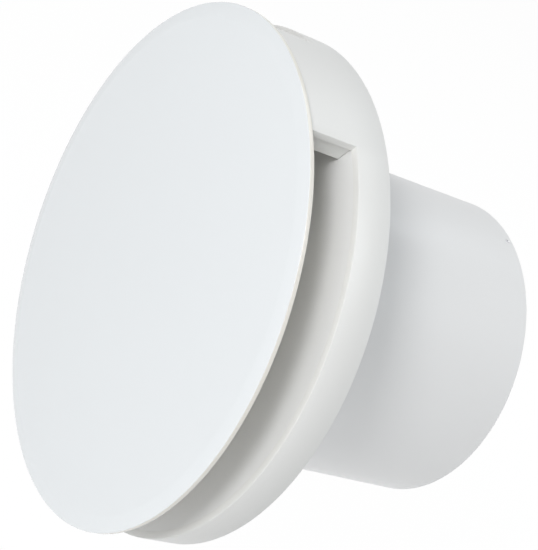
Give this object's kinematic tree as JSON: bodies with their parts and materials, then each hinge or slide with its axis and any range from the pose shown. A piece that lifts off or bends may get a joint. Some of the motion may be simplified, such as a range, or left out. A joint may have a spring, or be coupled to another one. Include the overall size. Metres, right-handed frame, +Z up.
{
  "type": "exhaust fan",
  "caption": "Round wall exhaust fan: flat front panel on pillars with side air slots, bell-mouth base, duct spigot, axial impeller and back-draught shutter.",
  "frame": {"origin": "middle of the wall plane, on the duct axis, where the base sits on the wall", "axes": "+Y along the duct, out of the room through the spigot; +Z up, through the upper pillar; +X to the right, seen from the room"},
  "size_m": [0.16, 0.111, 0.16],
  "materials": {
    "cover_white": "smooth white moulded plastic with a soft sheen",
    "base_white": "glossy white moulded plastic",
    "bracket_white": "plain white moulded plastic",
    "impeller_grey": "light grey moulded plastic",
    "shutter_white": "thin white moulded plastic",
    "motor_alloy": "die-cast alloy",
    "stator_steel": "stacked sheet steel",
    "rotor_alloy": "cast alloy",
    "shaft_steel": "ground steel",
    "screw_steel": "zinc plated steel",
    "spring_steel": "drawn steel wire",
    "bush_bronze": "sintered bronze",
    "winding_copper": "lacquered copper wire",
    "clamp_brass": "turned brass",
    "bobbin_cream": "cream moulded plastic",
    "terminal_cream": "cream moulded plastic",
    "washer_black": "black plastic",
    "lead_sleeve": "grey wire insulation",
    "grommet_rubber": "soft black rubber"
  },
  "bodies": {
    "base": {"base_housing": "base_white", "spigot_tube": "base_white", "motor_bracket": "bracket_white", "bracket_screws": "screw_steel", "motor_mount_screws": "screw_steel", "motor_front_cap": "motor_alloy", "motor_rear_cap": "motor_alloy", "motor_tie_screws": "screw_steel", "stator_core": "stator_steel", "coil_bobbins": "bobbin_cream", "stator_coils": "winding_copper", "shading_rings": "winding_copper", "front_bearing": "bush_bronze", "rear_bearing": "bush_bronze", "terminal_block": "terminal_cream", "terminal_clamps": "clamp_brass", "terminal_screws": "screw_steel", "terminal_block_screw": "screw_steel", "terminal_cover": "bracket_white", "motor_leads": "lead_sleeve", "cable_grommet": "grommet_rubber", "cable_clamp": "bracket_white", "cable_clamp_screws": "screw_steel", "shutter_pin": "shaft_steel"},
    "cover": {"front_panel": "cover_white", "cover_ring": "cover_white"},
    "rotor": {"motor_shaft": "shaft_steel", "rotor_core": "stator_steel", "rotor_end_rings": "rotor_alloy", "thrust_washers": "washer_black", "impeller": "impeller_grey", "impeller_clip": "spring_steel"},
    "flap_right": {"flap_right": "shutter_white", "flap_spring_right": "spring_steel"},
    "flap_left": {"flap_left": "shutter_white", "flap_spring_left": "spring_steel"}
  },
  "joints": [
    {"name": "cover_pull", "type": "slide", "parent": "base", "child": "cover", "axis": [0, -1, 0], "range_m": [0, 0.06]},
    {"name": "impeller_spin", "type": "hinge", "parent": "base", "child": "rotor", "pos_m": [0, 0, 0], "axis": [0, 1, 0], "continuous": true},
    {"name": "flap_right_swing", "type": "hinge", "parent": "base", "child": "flap_right", "pos_m": [0, 0.0796, 0], "axis": [0, 0, 1], "range_deg": [0, 78], "stiffness_Nm_per_rad": 0.002},
    {"name": "flap_left_swing", "type": "hinge", "parent": "base", "child": "flap_left", "pos_m": [0, 0.0796, 0], "axis": [0, 0, -1], "range_deg": [0, 78], "stiffness_Nm_per_rad": 0.002}
  ]
}
